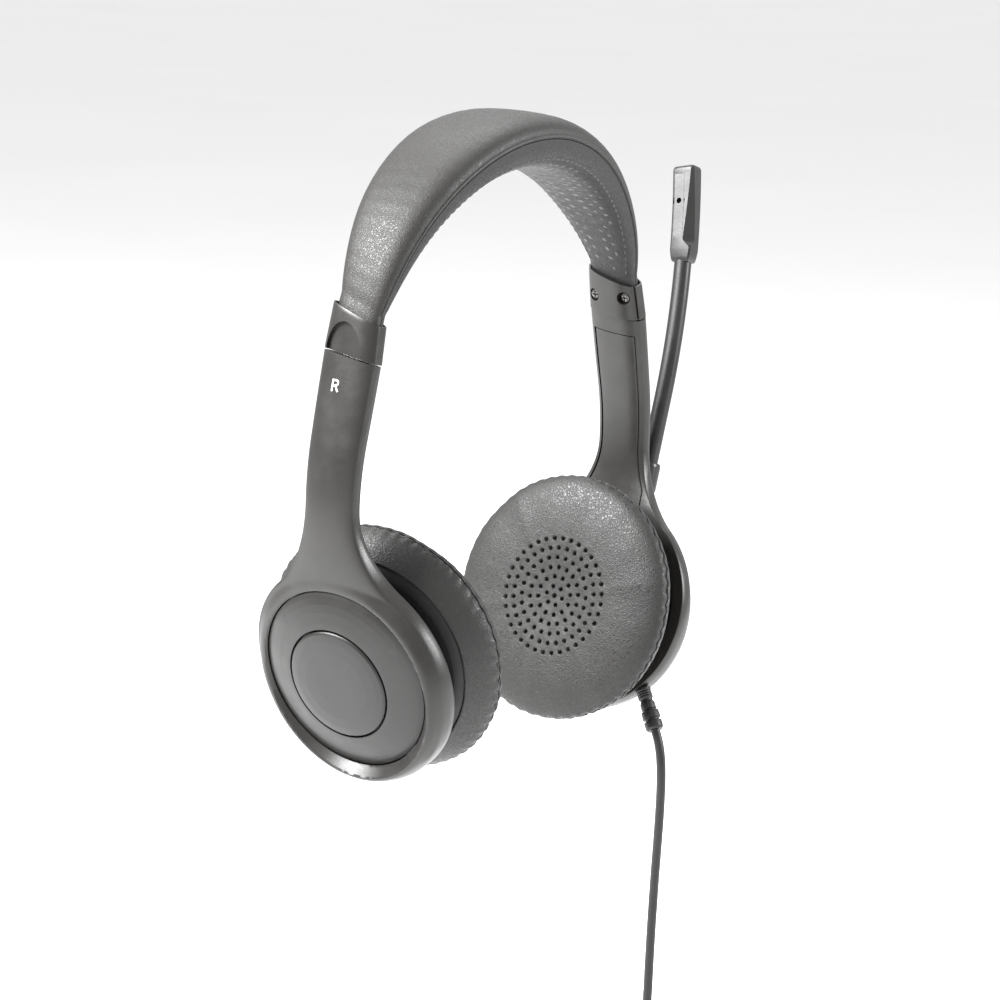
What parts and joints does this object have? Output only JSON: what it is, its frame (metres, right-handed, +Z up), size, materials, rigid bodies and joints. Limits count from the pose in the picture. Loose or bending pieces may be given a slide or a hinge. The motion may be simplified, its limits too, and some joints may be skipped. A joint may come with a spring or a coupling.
{
  "type": "office headset",
  "caption": "On-ear office headset with padded headband, sliding arms, gimballed ear cups, swinging microphone boom and a USB cord put away as a tied hank.",
  "frame": {"origin": "underside of the headband lining at the crown of the arch, where the band rests on the head", "axes": "+Z up, +X to the wearer's left (the boom side), -Y to the wearer's front"},
  "size_m": [0.1732, 0.078, 0.3186],
  "materials": {
    "band_leather": "fine grained",
    "lining_leather": "perforated",
    "foam": "open-cell foam",
    "spring_steel": "brushed",
    "satin_plastic": "fine satin texture",
    "screw_steel": "black zinc",
    "inner_plastic": "satin",
    "cap_plastic": "satin",
    "magnet_steel": "plated",
    "cone_film": "clear amber film",
    "pad_leather": "coarse grained",
    "dish_plastic": "satin",
    "boom_plastic": "satin",
    "boom_rubber": "matt",
    "mic_felt": "felt",
    "cord_rubber": "matt",
    "tie_fabric": "hook and loop strap",
    "plug_rubber": "matt",
    "plug_steel": "nickel plated"
  },
  "bodies": {
    "headband": {"band_cover": "band_leather", "band_foam": "foam", "band_spring": "spring_steel", "band_pad": "foam", "band_lining": "lining_leather", "collar_outer_l": "satin_plastic", "collar_inner_l": "satin_plastic", "collar_screw_1_l": "screw_steel", "collar_screw_2_l": "screw_steel", "collar_outer_r": "satin_plastic", "collar_inner_r": "satin_plastic", "collar_screw_1_r": "screw_steel", "collar_screw_2_r": "screw_steel"},
    "arm_l": {"arm_shell_l": "satin_plastic", "arm_cover_l": "satin_plastic", "slider_strip_l": "spring_steel", "bracket_l": "inner_plastic", "strain_relief": "cord_rubber", "cord": "cord_rubber", "cord_hank": "cord_rubber", "cord_tie": "tie_fabric", "plug_body": "plug_rubber", "plug_shell": "plug_steel"},
    "arm_r": {"arm_shell_r": "satin_plastic", "arm_cover_r": "satin_plastic", "slider_strip_r": "spring_steel", "bracket_r": "inner_plastic", "dish_r": "dish_plastic", "cap_r": "cap_plastic"},
    "gimbal_l": {"gimbal_ring_l": "inner_plastic"},
    "gimbal_r": {"gimbal_ring_r": "inner_plastic"},
    "cup_l": {"cup_back_l": "inner_plastic", "driver_magnet_l": "magnet_steel", "driver_frame_l": "inner_plastic", "driver_cone_l": "cone_film", "baffle_l": "inner_plastic", "ear_pad_l": "pad_leather"},
    "cup_r": {"cup_back_r": "inner_plastic", "driver_magnet_r": "magnet_steel", "driver_frame_r": "inner_plastic", "driver_cone_r": "cone_film", "baffle_r": "inner_plastic", "ear_pad_r": "pad_leather"},
    "boom": {"boom_hub": "dish_plastic", "cap_l": "cap_plastic", "boom_sleeve": "boom_plastic", "boom_rod": "boom_rubber", "mic_shell": "boom_plastic", "mic_cover": "boom_plastic", "mic_capsule": "mic_felt"}
  },
  "joints": [
    {"name": "arm_slide_l", "type": "slide", "parent": "headband", "child": "arm_l", "axis": [0.2181, 0, -0.9759], "range_m": [0, 0.018]},
    {"name": "cup_swivel_l", "type": "hinge", "parent": "arm_l", "child": "gimbal_l", "pos_m": [0.05405, 0, -0.1254], "axis": [0.2924, 0, 0.9563], "range_deg": [-6, 8]},
    {"name": "cup_tilt_l", "type": "hinge", "parent": "gimbal_l", "child": "cup_l", "pos_m": [0.05405, 0, -0.1254], "axis": [0.0167, 0.9998, -0.0051], "range_deg": [-4, 10]},
    {"name": "arm_slide_r", "type": "slide", "parent": "headband", "child": "arm_r", "axis": [-0.2181, 0, -0.9759], "range_m": [0, 0.018]},
    {"name": "cup_swivel_r", "type": "hinge", "parent": "arm_r", "child": "gimbal_r", "pos_m": [-0.05405, 0, -0.1254], "axis": [-0.2924, 0, 0.9563], "range_deg": [-12.6, 1.4]},
    {"name": "cup_tilt_r", "type": "hinge", "parent": "gimbal_r", "child": "cup_r", "pos_m": [-0.05405, 0, -0.1254], "axis": [-0.0933, 0.9952, -0.0285], "range_deg": [-10.6, 3.4]},
    {"name": "boom_turn", "type": "hinge", "parent": "arm_l", "child": "boom", "pos_m": [0.0617, 0, -0.12774], "axis": [0.9563, 0, -0.2924], "range_deg": [0, 135]}
  ]
}
